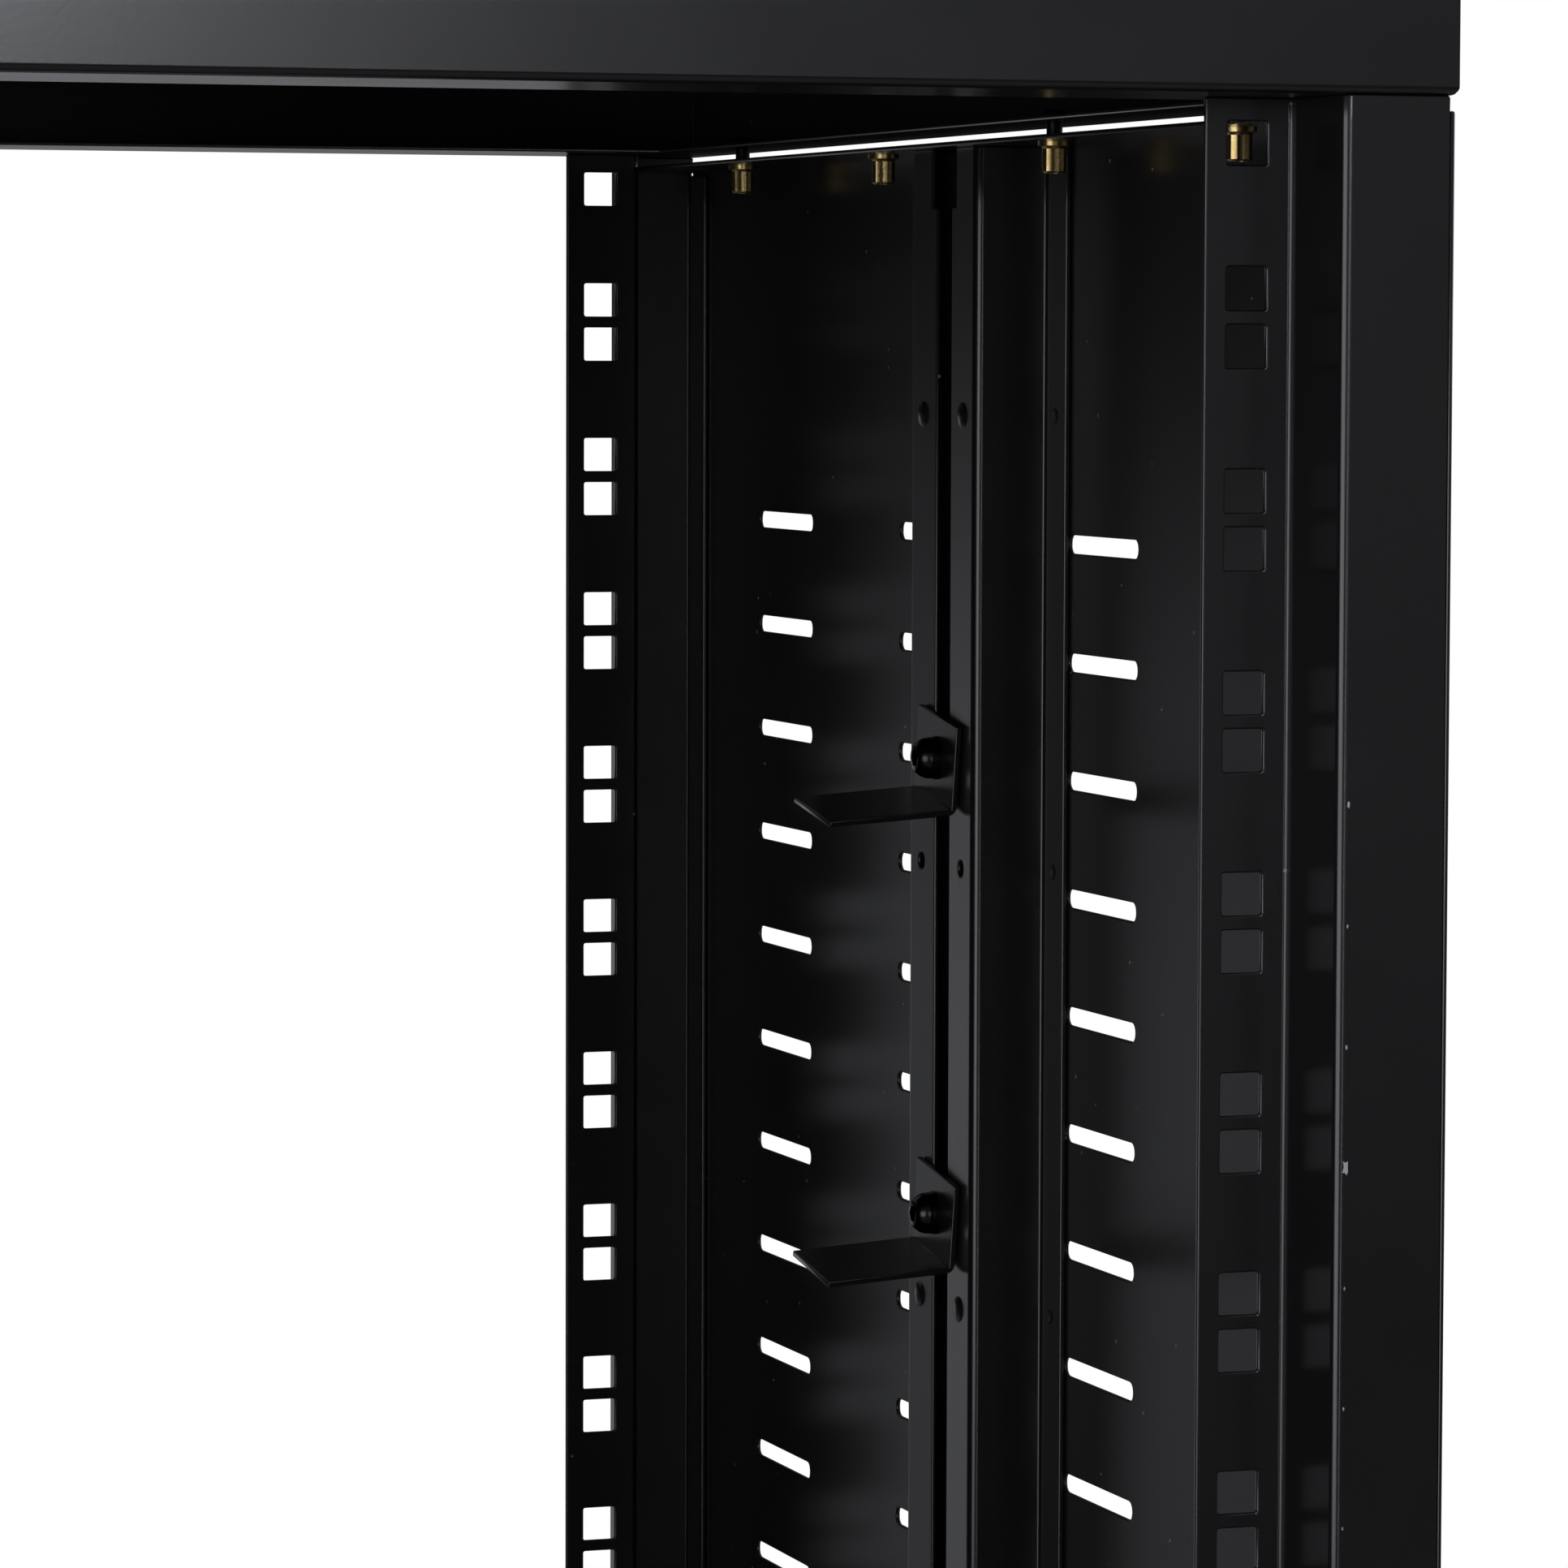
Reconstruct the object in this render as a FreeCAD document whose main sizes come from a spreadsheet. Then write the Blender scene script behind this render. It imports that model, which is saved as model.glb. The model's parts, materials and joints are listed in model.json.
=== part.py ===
import FreeCAD, Part
import math
import os
import Sketcher

# A rolling equipment rack: two sheet-steel sides with square-hole rack rails at the front and the back,
# joined by a top cap and a base tray, on four swivel casters. Both ends of the bay are open.
# Millimetres, +Z up. X runs across the rack and Y from the front to the back. The origin is on the floor
# under the middle of the rack.

doc = FreeCAD.newDocument("rolling_equipment_rack")
sheet = doc.addObject("Spreadsheet::Sheet", "dims")

driving_dimensions = [
    # rack standard: unit height, distance between the hole columns, square holes in pairs
    ("rack_units", 16),
    ("unit_pitch", 44.45),
    ("hole_span", 465.1),
    ("hole_size", 9.5),
    ("hole_pair", 31.75),
    # rails and corner posts, folded from one gauge
    ("rail_spacing", 477.5),
    ("post_sheet", 1.5),
    ("hole_to_edge", 10),
    ("hole_to_web", 10.5),
    ("post_flange", 26.25),
    ("post_recess", 26),
    ("post_leg", 15),
    ("bend_inside", 1),
    ("bay_margin", 3.65),
    # side walls with their top and bottom flanges
    ("wall_sheet", 1.2),
    ("wall_round", 0.8),
    ("cap_gap", 3.3),
    ("fit_gap", 0.6),
    # ventilation slots: a column in front of the strut and two behind it
    ("slot_length", 46),
    ("slot_width", 4.6),
    ("slot_pitch", 29.633),
    ("slot_first", 100.4),
    ("slot_inner", 62),
    ("slot_outer", 179.7),
    # holes for rivet nuts in the flanges, and for the bolts that hold the cap and the tray to them
    ("nut_inner", 62),
    ("nut_outer", 178.5),
    ("nut_from_wall", 13.4),
    ("nut_hole", 6.2),
    ("bolt_hole", 4.5),
    # middle strut: two Z bars that leave a clamping slot between their lips
    ("strut_width", 50),
    ("strut_depth", 19.6),
    ("strut_flare", 2.5),
    ("strut_foot", 14.5),
    ("strut_slot", 10),
    ("entry_width", 17),
    ("entry_height", 15),
    ("pin_hole", 4.2),
    ("pin_first", 183.4),
    ("pin_pitch", 227.7),
    # shelf brackets, clamped in the strut's slot and tipped forward
    ("bracket_width", 28.5),
    ("bracket_above", 11),
    ("bracket_below", 12),
    ("bracket_leg", 34),
    ("bracket_droop", 4),
    ("bracket_tilt", 9),
    ("bracket_upper", 156),
    ("bracket_lower", 273.1),
    ("screw_hole", 5.5),
    # top cap and base tray
    ("tray_height", 45),
    ("tray_sheet", 1.2),
    ("tray_front", 1),
    ("tray_side", 0.5),
    ("front_lip", 45),
    ("side_lip", 26),
    ("tray_round", 2),
    # casters
    ("caster_side", 48),
    ("caster_end", 70),
    ("plate_size", 64),
    ("plate_thick", 2.5),
    ("plate_bevel", 5),
    ("race_wide", 46),
    ("race_height", 9),
    ("trail", 28),
    ("wheel_wide", 75),
    ("wheel_tread", 24),
    ("tyre_depth", 7),
    ("tyre_round", 3),
    ("hub_dish", 4),
    ("nave_wide", 22),
    ("hub_wide", 26),
    ("axle_wide", 8),
    ("axle_head", 14),
    ("head_height", 4),
    ("fork_sheet", 3),
    ("fork_top", 40),
    ("fork_boss", 12),
    ("fork_bevel", 7),
    ("run_gap", 1),
    ("wheel_clear", 5.5),
]
for row, (alias, number) in enumerate(driving_dimensions, start=1):
    sheet.set(f"A{row}", alias)
    sheet.set(f"B{row}", str(number))
    sheet.setAlias(f"B{row}", alias)
doc.recompute()

# Places that several pieces share, as expressions on the driving dimensions
rail_face = "(dims.rail_spacing / 2)"
post_face = "(dims.rail_spacing / 2 + dims.post_recess)"
rail_edge = "(dims.hole_span / 2 - dims.hole_to_edge)"
web_face = "(dims.hole_span / 2 + dims.hole_to_web)"
wall_inner = f"({web_face} + dims.post_flange)"
wall_outer = f"({wall_inner} + dims.wall_sheet)"
rail_seam = f"({web_face} - 2 * dims.bend_inside)"
bend_outside = "(dims.bend_inside + dims.post_sheet)"
bay_height = "(dims.rack_units * dims.unit_pitch)"
fork_roof = "(dims.wheel_wide + dims.wheel_clear + dims.fork_sheet)"
caster_height = f"({fork_roof} + dims.race_height + dims.plate_thick)"
post_bottom = f"({caster_height} + dims.tray_height)"
post_height = f"({bay_height} + 2 * dims.bay_margin)"
post_top = f"({post_bottom} + {post_height})"
middle_height = f"({post_bottom} + {post_height} / 2)"
bay_bottom = f"({post_bottom} + dims.bay_margin)"
bay_top = f"({post_top} - dims.bay_margin)"
wall_bottom = f"({post_bottom} + dims.cap_gap)"
wall_top = f"({post_top} - dims.cap_gap)"
flange_edge = f"({web_face} + dims.post_sheet + dims.fit_gap)"
flange_end = f"({post_face} - dims.post_sheet - dims.fit_gap)"
nut_line = f"({wall_inner} - dims.nut_from_wall)"
nut_places = ("-dims.nut_outer", "-dims.nut_inner", "dims.nut_inner", "dims.nut_outer")
lip_face = f"({wall_inner} - dims.strut_depth)"
tray_x = f"({wall_outer} + dims.tray_side)"
tray_y = f"({post_face} + dims.tray_front)"
fork_inside = "(dims.hub_wide + 2 * dims.run_gap)"
fork_outside = f"({fork_inside} + 2 * dims.fork_sheet)"

# how many flats make a small hole and a wheel round, and a bolt's head
small_sides = 8
wheel_sides = 20
hex_sides = 6

pieces = []


def value(expression):
    return float(sheet.evalExpression(expression))


def new_body(name):
    body = doc.addObject("PartDesign::Body", name)
    body.Label = name
    return body


def keep(piece):
    pieces.append(piece)
    return piece


def sketch_on(body, name, role, offset="0"):
    sketch = body.newObject("Sketcher::SketchObject", name)
    plane = next(item for item in body.Origin.OriginFeatures if item.Role == role)
    sketch.AttachmentSupport = [(plane, "")]
    sketch.MapMode = "FlatFace"
    sketch.setExpression("AttachmentOffset.Base.z", offset)
    return sketch


def bind(sketch, constraint, expression):
    index = sketch.addConstraint(constraint)
    sketch.setExpression(f"Constraints[{index}]", expression)


def outline(sketch, corners):
    # a closed outline whose corners are pairs of expressions in the sketch's plane
    first = sketch.GeometryCount
    count = len(corners)
    spots = [FreeCAD.Vector(value(across), value(up), 0) for across, up in corners]
    for index in range(count):
        sketch.addGeometry(Part.LineSegment(spots[index], spots[(index + 1) % count]))
    for index in range(count):
        following = first + (index + 1) % count
        sketch.addConstraint(Sketcher.Constraint("Coincident", first + index, 2, following, 1))
    for index, (across, up) in enumerate(corners):
        edge = first + index
        bind(sketch, Sketcher.Constraint("DistanceX", -1, 1, edge, 1, spots[index].x), across)
        bind(sketch, Sketcher.Constraint("DistanceY", -1, 1, edge, 1, spots[index].y), up)


def rectangle(sketch, low_across, low_up, high_across, high_up):
    outline(sketch, [(low_across, low_up), (high_across, low_up),
                     (high_across, high_up), (low_across, high_up)])


def ring(sketch, across, up, radius, sides):
    # a round outline of flats that touch the circle, one of them level below
    half_step = math.pi / sides
    corners = []
    for index in range(sides):
        turn = half_step * (2 * index + 1) - math.pi / 2
        stretch = 1 / math.cos(half_step)
        corners.append((f"{across} + {math.cos(turn) * stretch:.6f} * {radius}",
                        f"{up} + {math.sin(turn) * stretch:.6f} * {radius}"))
    outline(sketch, corners)


def pad(body, name, sketch, length, symmetric=False):
    feature = body.newObject("PartDesign::Pad", name)
    feature.Profile = sketch
    feature.setExpression("Length", length)
    if symmetric:
        feature.SideType = "Symmetric"
    return feature


def pocket(body, name, sketch, length=None):
    # cuts both ways from the sketch: the whole body, or a band of the given length
    feature = body.newObject("PartDesign::Pocket", name)
    feature.Profile = sketch
    feature.SideType = "Symmetric"
    if length:
        feature.setExpression("Length", length)
    else:
        feature.Type = "ThroughAll"
    return feature


def pocket_up(body, name, sketch, length):
    # cuts upwards from a level sketch
    feature = body.newObject("PartDesign::Pocket", name)
    feature.Profile = sketch
    feature.Reversed = True
    feature.setExpression("Length", length)
    return feature


def row_up(body, name, original, sketch, count, pitch, downwards=False):
    pattern = body.newObject("PartDesign::LinearPattern", name)
    pattern.Originals = [original]
    pattern.Direction = (sketch, ["V_Axis"])
    pattern.Reversed = downwards
    pattern.setExpression("Length", f"({count} - 1) * {pitch}")
    pattern.setExpression("Occurrences", count)
    body.Tip = pattern
    return pattern


def edge_names(base, wanted):
    # the edges whose middle point passes the test
    doc.recompute()
    names = []
    for index, edge in enumerate(base.Shape.Edges, start=1):
        middle = edge.valueAt((edge.FirstParameter + edge.LastParameter) / 2)
        if wanted(edge, middle):
            names.append(f"Edge{index}")
    return names


def round_edges(body, name, base, wanted, radius):
    names = edge_names(base, wanted)
    feature = body.newObject("PartDesign::Fillet", name)
    feature.Base = (base, names)
    feature.setExpression("Radius", radius)
    body.Tip = feature
    return feature


def bevel_edges(body, name, base, wanted, size):
    names = edge_names(base, wanted)
    feature = body.newObject("PartDesign::Chamfer", name)
    feature.Base = (base, names)
    feature.setExpression("Size", size)
    body.Tip = feature
    return feature


def close(one, other):
    return abs(one - other) < 0.01


def upright_at(*corners):
    # a test for upright edges at the given plan corners
    spots = [(value(across), value(along)) for across, along in corners]

    def wanted(edge, middle):
        upright = close(edge.tangentAt(edge.FirstParameter).z ** 2, 1)
        return upright and any(close(middle.x, x) and close(middle.y, y) for x, y in spots)

    return wanted


def mirrored(source, name, normal):
    piece = doc.addObject("Part::Mirroring", name)
    piece.Label = name
    piece.Source = source
    piece.Normal = normal
    return keep(piece)


across_rack = FreeCAD.Vector(1, 0, 0)
along_rack = FreeCAD.Vector(0, 1, 0)
up_rack = FreeCAD.Vector(0, 0, 1)


def four_corners(source, kind):
    # the front right piece, repeated at the other three corners
    keep(source)
    rear = mirrored(source, f"right_rear_{kind}", along_rack)
    mirrored(source, f"left_front_{kind}", across_rack)
    mirrored(rear, f"left_rear_{kind}", across_rack)


def both_sides(source, kind):
    keep(source)
    mirrored(source, f"left_{kind}", across_rack)


def make_rails():
    # a flat strip with two square holes to a unit
    body = new_body("right_front_rail")
    plan = sketch_on(body, "rail_plan", "XY_Plane", post_bottom)
    rectangle(plan, rail_edge, f"-{rail_face}", rail_seam, f"-{rail_face} + dims.post_sheet")
    pad(body, "rail_strip", plan, post_height)
    holes = sketch_on(body, "rail_holes", "XZ_Plane")
    left = "dims.hole_span / 2 - dims.hole_size / 2"
    right = "dims.hole_span / 2 + dims.hole_size / 2"
    for side in ("-", "+"):
        centre = f"{bay_bottom} + dims.unit_pitch / 2 {side} dims.hole_pair / 2"
        rectangle(holes, left, f"{centre} - dims.hole_size / 2", right, f"{centre} + dims.hole_size / 2")
    pair = pocket(body, "rail_hole_pair", holes)
    row_up(body, "rail_hole_rows", pair, holes, "dims.rack_units", "dims.unit_pitch")
    four_corners(body, "rail")


def make_posts():
    # a folded corner: the rail's bend, a web forward, the front flange and a leg against the wall
    body = new_body("right_front_post")
    plan = sketch_on(body, "post_plan", "XY_Plane", post_bottom)
    behind_rail = f"-{rail_face} + dims.post_sheet"
    behind_flange = f"-{post_face} + dims.post_sheet"
    behind_web = f"{web_face} + dims.post_sheet"
    outline(plan, [(rail_seam, f"-{rail_face}"), (web_face, f"-{rail_face}"), (web_face, f"-{post_face}"),
                   (wall_inner, f"-{post_face}"), (wall_inner, behind_flange), (behind_web, behind_flange),
                   (behind_web, behind_rail), (rail_seam, behind_rail)])
    strip = pad(body, "post_strip", plan, post_height)
    tight = upright_at((web_face, f"-{rail_face}"), (behind_web, behind_flange))
    inside = round_edges(body, "post_inner_bends", strip, tight, "dims.bend_inside")
    wide = upright_at((web_face, f"-{post_face}"), (behind_web, behind_rail))
    round_edges(body, "post_outer_bends", inside, wide, bend_outside)
    clear = "(dims.cap_gap + dims.wall_sheet + dims.fit_gap)"
    leg = sketch_on(body, "leg_plan", "XY_Plane", f"{post_bottom} + {clear}")
    leg_end = f"-{post_face} + dims.post_leg"
    rectangle(leg, f"{wall_inner} - dims.post_sheet", behind_flange, wall_inner, leg_end)
    pad(body, "leg_strip", leg, f"{post_height} - 2 * {clear}")
    four_corners(body, "post")


def slot_outline(sketch, centre, height):
    # a slot along Y with rounded ends, each drawn with three chords
    chords = 3
    corners = []
    for end, start in ((1, -90), (-1, 90)):
        for step in range(chords + 1):
            turn = math.radians(start + 180 * step / chords)
            corners.append((f"{centre} + {end} * (dims.slot_length - dims.slot_width) / 2"
                            f" + {math.cos(turn):.6f} * dims.slot_width / 2",
                            f"{height} + {math.sin(turn):.6f} * dims.slot_width / 2"))
    outline(sketch, corners)


def make_walls():
    # a flat sheet with three columns of ventilation slots
    body = new_body("right_side_wall")
    section = sketch_on(body, "wall_section", "XZ_Plane")
    rectangle(section, wall_inner, wall_bottom, wall_outer, wall_top)
    plate = pad(body, "wall_plate", section, f"2 * {post_face}", symmetric=True)
    corners = upright_at((wall_outer, f"-{post_face}"), (wall_outer, post_face))
    round_edges(body, "wall_corners", plate, corners, "dims.wall_round")
    slots = sketch_on(body, "wall_slots", "YZ_Plane")
    for column in ("-dims.slot_inner", "dims.slot_inner", "dims.slot_outer"):
        slot_outline(slots, column, f"{bay_top} - dims.slot_first")
    row = pocket(body, "wall_slot_row", slots)
    rows = f"(floor(({bay_height} - 2 * dims.slot_first) / dims.slot_pitch) + 1)"
    row_up(body, "wall_slot_rows", row, slots, rows, "dims.slot_pitch", downwards=True)
    both_sides(body, "side_wall")


def make_flanges():
    # the wall's inward flanges, which the cap and the tray are bolted to
    for place, low in (("top", f"{wall_top} - dims.wall_sheet"), ("bottom", wall_bottom)):
        body = new_body(f"right_{place}_flange")
        section = sketch_on(body, f"{place}_flange_section", "XZ_Plane")
        rectangle(section, flange_edge, low, wall_inner, f"{low} + dims.wall_sheet")
        pad(body, f"{place}_flange_strip", section, f"2 * {flange_end}", symmetric=True)
        holes = sketch_on(body, f"{place}_flange_holes", "XY_Plane", low)
        for along in nut_places:
            ring(holes, nut_line, along, "dims.nut_hole / 2", small_sides)
        pocket(body, f"{place}_flange_nut_holes", holes)
        both_sides(body, f"{place}_flange")


def make_struts():
    # a Z bar: foot on the wall, a web that leans out towards it and a lip beside the slot
    body = new_body("right_front_strut")
    clear_height = f"({wall_top} - {wall_bottom} - 2 * dims.wall_sheet)"
    plan = sketch_on(body, "strut_plan", "XY_Plane", f"{wall_bottom} + dims.wall_sheet")
    side = "-dims.strut_width / 2"
    slot_side = "-dims.strut_slot / 2"
    foot_start = f"{side} - dims.strut_flare"
    foot_end = f"{side} - dims.strut_foot"
    foot_face = f"{wall_inner} - dims.post_sheet"
    lip_back = f"{lip_face} + dims.post_sheet"
    web_back = f"{side} + dims.post_sheet"
    foot_back = f"{foot_start} + dims.post_sheet"
    outline(plan, [(lip_face, slot_side), (lip_face, side), (foot_face, foot_start),
                   (foot_face, foot_end), (wall_inner, foot_end), (wall_inner, foot_back),
                   (lip_back, web_back), (lip_back, slot_side)])
    bar = pad(body, "strut_bar", plan, clear_height)
    tight = upright_at((foot_face, foot_start), (lip_back, web_back))
    inside = round_edges(body, "strut_inner_bends", bar, tight, "dims.bend_inside")
    wide = upright_at((lip_face, side), (wall_inner, foot_back))
    round_edges(body, "strut_outer_bends", inside, wide, bend_outside)
    entry = sketch_on(body, "strut_entry", "YZ_Plane")
    top = f"{wall_top} - dims.wall_sheet"
    rectangle(entry, "-dims.entry_width / 2", f"{top} - dims.entry_height", "0", top)
    pocket(body, "strut_entry_cut", entry)
    pins = sketch_on(body, "strut_pins", "YZ_Plane")
    lip_middle = "-(dims.strut_width + dims.strut_slot) / 4"
    ring(pins, lip_middle, f"{bay_top} - dims.pin_first", "dims.pin_hole / 2", small_sides)
    pin = pocket(body, "strut_pin_hole", pins, f"2 * ({lip_face} + 2 * dims.post_sheet)")
    count = f"(floor(({bay_height} - dims.pin_first) / dims.pin_pitch) + 1)"
    row_up(body, "strut_pin_holes", pin, pins, count, "dims.pin_pitch", downwards=True)
    four_corners(body, "strut")


def make_brackets():
    # an angle whose tab lies on the strut's lips; its local origin is the clamping screw
    for place in ("upper", "lower"):
        body = new_body(f"right_{place}_bracket")
        section = sketch_on(body, f"{place}_bracket_section", "XZ_Plane")
        fall = "dims.bracket_leg * tan(dims.bracket_droop * 1 deg)"
        floor = "-dims.bracket_below"
        outline(section, [("0", "dims.bracket_above"), ("-dims.post_sheet", "dims.bracket_above"),
                          ("-dims.post_sheet", f"{floor} + dims.post_sheet"),
                          ("-dims.bracket_leg", f"{floor} + dims.post_sheet - {fall}"),
                          ("-dims.bracket_leg", f"{floor} - {fall}"), ("0", floor)])
        angle = pad(body, f"{place}_bracket_angle", section, "dims.bracket_width", symmetric=True)

        def heel(edge, middle):
            return close(middle.x, 0) and close(middle.z, value(floor)) and close(middle.y, 0)

        round_edges(body, f"{place}_bracket_bend", angle, heel, bend_outside)
        hole = sketch_on(body, f"{place}_bracket_hole", "YZ_Plane")
        ring(hole, "0", "0", "dims.screw_hole / 2", small_sides)
        pocket(body, f"{place}_bracket_bore", hole)
        body.Placement = FreeCAD.Placement(FreeCAD.Vector(), FreeCAD.Rotation(across_rack, 1))
        body.setExpression("Placement.Base.x", lip_face)
        body.setExpression("Placement.Base.z", f"{bay_top} - dims.bracket_{place}")
        body.setExpression("Placement.Rotation.Angle", "dims.bracket_tilt")
        both_sides(body, f"{place}_bracket")


def make_cap_and_tray():
    # a shallow tray upside down, with a lip all round its open side; the base repeats it the other way up
    body = new_body("top_cap")
    plan = sketch_on(body, "cap_plan", "XY_Plane", post_top)
    rectangle(plan, f"-{tray_x}", f"-{tray_y}", tray_x, tray_y)
    block = pad(body, "cap_block", plan, "dims.tray_height")

    def level(edge, middle):
        return close(edge.tangentAt(edge.FirstParameter).z, 0)

    rounded = round_edges(body, "cap_bends", block, level, "dims.tray_round")
    inside = sketch_on(body, "cap_inside", "XY_Plane", f"{post_top} + dims.tray_sheet")
    room_x = f"({tray_x} - dims.tray_sheet)"
    room_y = f"({tray_y} - dims.tray_sheet)"
    rectangle(inside, f"-{room_x}", f"-{room_y}", room_x, room_y)
    hollow = pocket_up(body, "cap_hollow", inside, "dims.tray_height - 2 * dims.tray_sheet")
    mouth = sketch_on(body, "cap_mouth_plan", "XY_Plane", post_top)
    mouth_x = f"({tray_x} - dims.side_lip)"
    mouth_y = f"({tray_y} - dims.front_lip)"
    rectangle(mouth, f"-{mouth_x}", f"-{mouth_y}", mouth_x, mouth_y)
    pocket_up(body, "cap_mouth", mouth, "2 * dims.tray_sheet")
    holes = sketch_on(body, "cap_bolt_plan", "XY_Plane", post_top)
    for along in nut_places:
        for side in ("", "-"):
            ring(holes, f"{side}{nut_line}", along, "dims.bolt_hole / 2", small_sides)
    pocket_up(body, "cap_bolt_holes", holes, "2 * dims.tray_sheet")
    doc.recompute()
    if hollow.Shape.Volume > rounded.Shape.Volume / 2:
        raise RuntimeError("the cap's hollow was not cut")
    keep(body)
    mirrored(body, "base_tray", up_rack).setExpression("Base.z", middle_height)


def place_at(body, across, along, up):
    body.setExpression("Placement.Base.x", across)
    body.setExpression("Placement.Base.y", along)
    body.setExpression("Placement.Base.z", up)


def make_caster(corner, across, along):
    # a swivel caster about its upright axis, its wheel trailing towards the back
    plate = new_body(f"{corner}_caster_plate")
    plan = sketch_on(plate, "plate_plan", "XY_Plane", f"{caster_height} - dims.plate_thick")
    half = "dims.plate_size / 2"
    rectangle(plan, f"-{half}", f"-{half}", half, half)
    slab = pad(plate, "plate_slab", plan, "dims.plate_thick")
    corners = [(f"{one} {half}", f"{two} {half}") for one in "+-" for two in "+-"]
    bevel_edges(plate, "plate_corners", slab, upright_at(*corners), "dims.plate_bevel")
    race = sketch_on(plate, "race_plan", "XY_Plane", fork_roof)
    ring(race, "0", "0", "dims.race_wide / 2", wheel_sides)
    pad(plate, "race_ring", race, "dims.race_height")

    fork = new_body(f"{corner}_caster_fork")
    view = sketch_on(fork, "fork_view", "YZ_Plane")
    axle_height = "dims.wheel_wide / 2"
    low = f"{axle_height} - dims.fork_boss"
    front = "dims.trail - dims.fork_boss"
    back = "dims.trail + dims.fork_boss"
    outline(view, [("-dims.fork_top / 2", fork_roof), (front, low), (back, low), (back, fork_roof)])
    block = pad(fork, "fork_block", view, fork_outside, symmetric=True)

    def boss(edge, middle):
        return close(middle.z, value(low)) and close(middle.x, 0)

    bevel_edges(fork, "fork_ends", block, boss, "dims.fork_bevel")
    room = sketch_on(fork, "fork_room", "YZ_Plane")
    ceiling = f"{fork_roof} - dims.fork_sheet"
    rectangle(room, "-dims.wheel_wide", "0", "dims.wheel_wide + dims.trail", ceiling)
    pocket(fork, "fork_gap", room, fork_inside)
    bore = sketch_on(fork, "fork_bore_plan", "YZ_Plane")
    ring(bore, "dims.trail", axle_height, "dims.axle_wide / 2", small_sides)
    pocket(fork, "fork_bore", bore)

    rim = "dims.wheel_wide / 2"
    tyre_inner = f"({rim} - dims.tyre_depth)"
    bore_radius = "dims.axle_wide / 2"
    tyre = new_body(f"{corner}_caster_tyre")
    tyre_view = sketch_on(tyre, "tyre_view", "YZ_Plane")
    ring(tyre_view, "0", "0", rim, wheel_sides)
    ring(tyre_view, "0", "0", tyre_inner, wheel_sides)
    band = pad(tyre, "tyre_band", tyre_view, "dims.wheel_tread", symmetric=True)

    def shoulder(edge, middle):
        on_side = close(abs(middle.x), value("dims.wheel_tread / 2"))
        outside = math.hypot(middle.y, middle.z) > value(f"({rim} + {tyre_inner}) / 2")
        return on_side and outside

    bevel_edges(tyre, "tyre_shoulders", band, shoulder, "dims.tyre_round")

    hub = new_body(f"{corner}_caster_hub")
    hub_view = sketch_on(hub, "hub_view", "YZ_Plane")
    ring(hub_view, "0", "0", tyre_inner, wheel_sides)
    ring(hub_view, "0", "0", bore_radius, small_sides)
    pad(hub, "hub_disc", hub_view, "dims.wheel_tread - 2 * dims.hub_dish", symmetric=True)
    nave_view = sketch_on(hub, "nave_view", "YZ_Plane")
    ring(nave_view, "0", "0", "dims.nave_wide / 2", wheel_sides)
    ring(nave_view, "0", "0", bore_radius, small_sides)
    pad(hub, "hub_nave", nave_view, "dims.hub_wide", symmetric=True)

    axle = new_body(f"{corner}_caster_axle")
    shank_view = sketch_on(axle, "shank_view", "YZ_Plane")
    ring(shank_view, "0", "0", bore_radius, small_sides)
    pad(axle, "axle_shank", shank_view, fork_outside, symmetric=True)
    nut_start = f"-{fork_outside} / 2 - dims.head_height"
    for name, offset in (("head", f"{fork_outside} / 2"), ("nut", nut_start)):
        end_view = sketch_on(axle, f"{name}_view", "YZ_Plane", offset)
        ring(end_view, "0", "0", "dims.axle_head / 2", hex_sides)
        pad(axle, f"axle_{name}", end_view, "dims.head_height")

    for turned in (tyre, hub, axle):
        place_at(turned, across, f"{along} + dims.trail", axle_height)
        keep(turned)
    place_at(plate, across, along, "0")
    place_at(fork, across, along, "0")
    keep(plate)
    keep(fork)


make_rails()
make_posts()
make_walls()
make_flanges()
make_struts()
make_brackets()
make_cap_and_tray()
caster_x = f"({tray_x} - dims.caster_side)"
caster_y = f"({tray_y} - dims.caster_end)"
for end, along in (("front", f"-{caster_y}"), ("rear", caster_y)):
    make_caster(f"right_{end}", caster_x, along)
    make_caster(f"left_{end}", f"-{caster_x}", along)

doc.recompute()
failed = [item.Label for item in doc.Objects if "Invalid" in item.State or "Error" in item.State]
empty = [piece.Label for piece in pieces if piece.Shape.isNull() or not piece.Shape.isValid()]
if failed or empty:
    raise RuntimeError(f"failed features {failed}, bad shapes {empty}")
os.makedirs("parts", exist_ok=True)
for piece in pieces:
    piece.Shape.exportStep(f"parts/{piece.Label}.step")
    print(piece.Label, len(piece.Shape.Solids), round(piece.Shape.Volume))
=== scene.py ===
import json
import math

import bmesh
import bpy
from mathutils import Matrix, Vector


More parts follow.
